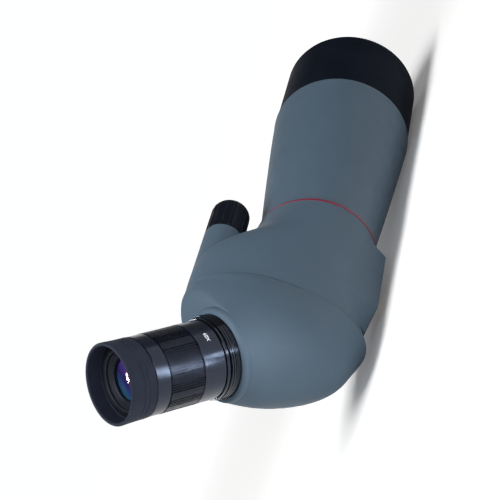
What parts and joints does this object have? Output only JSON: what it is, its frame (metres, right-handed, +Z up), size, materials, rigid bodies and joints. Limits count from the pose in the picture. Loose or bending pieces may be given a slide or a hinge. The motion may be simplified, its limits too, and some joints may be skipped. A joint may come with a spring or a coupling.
{
  "type": "spotting scope",
  "caption": "Angled zoom spotting scope: tapered tube with sliding sunshade, bulbous prism housing with tripod foot, focus knob, ribbed zoom eyepiece and twist-up eyecup.",
  "frame": {"origin": "centre of the tripod thread's mouth, on the bottom face of the tripod foot", "axes": "+Y along the tube towards the objective, +Z up away from the tripod, +X to the right of the scope"},
  "size_m": [0.0792, 0.3326, 0.1313],
  "materials": {
    "body_paint": "matte",
    "hood_black": "satin",
    "accent_red": "satin",
    "inner_black": "matte",
    "seal_rubber": "matte",
    "objective_glass": "polished",
    "lens_glass": "polished",
    "prism_glass": "polished",
    "brass": "turned",
    "steel": "ground",
    "spring_steel": "rolled",
    "screw_steel": "blackened",
    "knob_rubber": "matte",
    "knob_metal": "anodised",
    "eyepiece_gloss": "gloss anodised",
    "eyepiece_satin": "satin anodised",
    "grip_rubber": "semi-matte",
    "cup_rubber": "matte",
    "cup_plastic": "matte",
    "holder_metal": "die-cast"
  },
  "bodies": {
    "scope": {"main_tube": "body_paint", "tube_baffles": "inner_black", "objective_barrel": "inner_black", "objective_oring": "seal_rubber", "objective_cell": "inner_black", "objective_crown_lens": "objective_glass", "objective_spacer": "spring_steel", "objective_flint_lens": "objective_glass", "objective_retaining_ring": "inner_black", "sunshade_friction_ring": "seal_rubber", "sunshade_stop_ring": "inner_black", "accent_ring": "accent_red", "tube_seal_ring": "seal_rubber", "front_housing": "body_paint", "tripod_insert": "brass", "foot_pad": "seal_rubber", "seam_gasket": "seal_rubber", "rear_cover": "body_paint", "cover_screws": "screw_steel", "erecting_prism": "prism_glass", "prism_holder": "holder_metal", "prism_clip": "spring_steel", "prism_clip_screws": "screw_steel", "prism_holder_screws": "screw_steel", "focus_bushing": "brass", "guide_rods": "steel", "eyepiece_mount_ring": "eyepiece_gloss", "eyepiece_oring": "seal_rubber", "eyepiece_lock_ring": "eyepiece_gloss", "eyepiece_barrel": "inner_black", "field_stop": "inner_black", "eye_lens_cell": "inner_black", "eye_lens": "lens_glass", "eye_lens_rear": "lens_glass", "eye_lens_spacer": "spring_steel"},
    "sunshade": {"sunshade": "hood_black"},
    "focus_knob": {"focus_knob_grip": "knob_rubber", "focus_knob_hub": "knob_metal", "focus_knob_setscrew": "screw_steel", "focus_knob_cap": "knob_metal", "focus_shaft": "steel", "focus_circlip": "spring_steel"},
    "focus_group": {"focus_nut": "brass", "focus_carriage": "holder_metal", "focusing_lens": "lens_glass", "focusing_lens_ring": "inner_black"},
    "zoom_ring": {"zoom_sleeve": "eyepiece_satin", "zoom_grip": "grip_rubber"},
    "zoom_front_group": {"zoom_front_cell": "inner_black", "zoom_front_lens": "lens_glass", "zoom_front_pin": "steel"},
    "zoom_rear_group": {"zoom_rear_cell": "inner_black", "zoom_rear_lens": "lens_glass", "zoom_rear_pin": "steel"},
    "eyecup_ring": {"eyecup_cam_ring": "cup_plastic"},
    "eyecup": {"eyecup_core": "cup_plastic", "eyecup": "cup_rubber"}
  },
  "joints": [
    {"name": "sunshade_pull", "type": "slide", "parent": "scope", "child": "sunshade", "axis": [0, 1, 0], "range_m": [0, 0.035]},
    {"name": "focus_knob_turn", "type": "hinge", "parent": "scope", "child": "focus_knob", "pos_m": [0, 0.022, 0.0839], "axis": [0, 1, 0], "range_deg": [-540, 540]},
    {"name": "focus_travel", "type": "slide", "parent": "scope", "child": "focus_group", "axis": [0, 1, 0], "range_m": [-0.00605, 0.00605]},
    {"name": "zoom_turn", "type": "hinge", "parent": "scope", "child": "zoom_ring", "pos_m": [0, -0.10107, 0.09227], "axis": [0, -0.7071, 0.7071], "range_deg": [0, 120]},
    {"name": "zoom_front_travel", "type": "slide", "parent": "scope", "child": "zoom_front_group", "axis": [0, -0.7071, 0.7071], "range_m": [0, 0.009]},
    {"name": "zoom_rear_travel", "type": "slide", "parent": "scope", "child": "zoom_rear_group", "axis": [0, -0.7071, 0.7071], "range_m": [-0.006, 0]},
    {"name": "eyecup_twist", "type": "hinge", "parent": "scope", "child": "eyecup_ring", "pos_m": [0, -0.11344, 0.10464], "axis": [0, -0.7071, 0.7071], "range_deg": [0, 90]},
    {"name": "eyecup_lift", "type": "slide", "parent": "eyecup_ring", "child": "eyecup", "axis": [0, -0.7071, 0.7071], "range_m": [0, 0.0045]}
  ],
  "couplings": [
    {"joint": "focus_travel", "follows": "focus_knob_turn", "m_per_rad": 0.00063662},
    {"joint": "zoom_front_travel", "follows": "zoom_turn", "m_per_rad": 0.0042924},
    {"joint": "zoom_rear_travel", "follows": "zoom_turn", "m_per_rad": -0.00286},
    {"joint": "eyecup_lift", "follows": "eyecup_twist", "m_per_rad": 0.0028616}
  ]
}
